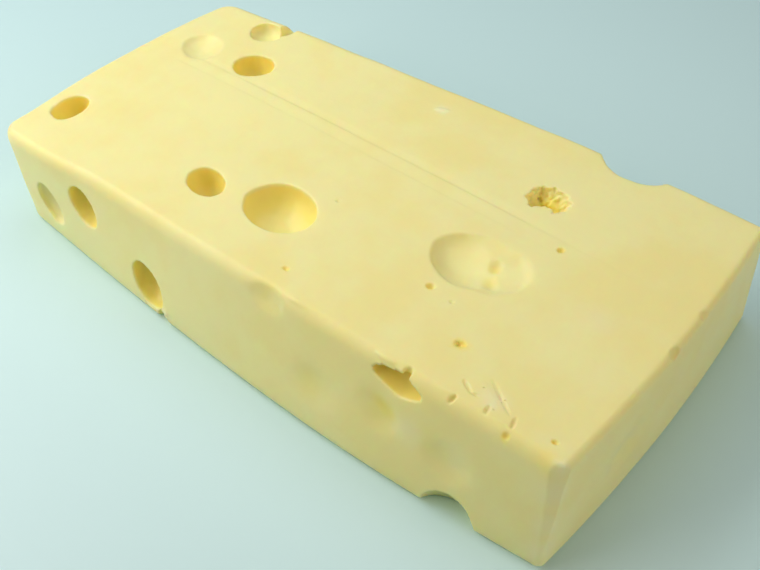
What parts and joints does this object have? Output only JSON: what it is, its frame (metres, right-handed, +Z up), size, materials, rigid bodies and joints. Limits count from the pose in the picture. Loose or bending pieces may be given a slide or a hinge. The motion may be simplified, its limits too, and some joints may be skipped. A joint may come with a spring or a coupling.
{
  "type": "cheese block",
  "caption": "Whole block of pale yellow eyed cheese, long and flat, with round gas eyes opened on its sides and top, lying on its large face.",
  "frame": {"origin": "middle of the resting face, under the middle of the block's box", "axes": "+X along the block's long side, +Y across it towards the long side with the round bite in its top edge, +Z up"},
  "size_m": [0.2762, 0.1406, 0.043],
  "materials": {
    "cheese_paste": "waxy satin"
  },
  "bodies": {
    "root": {"cheese_block": "cheese_paste"}
  },
  "joints": []
}
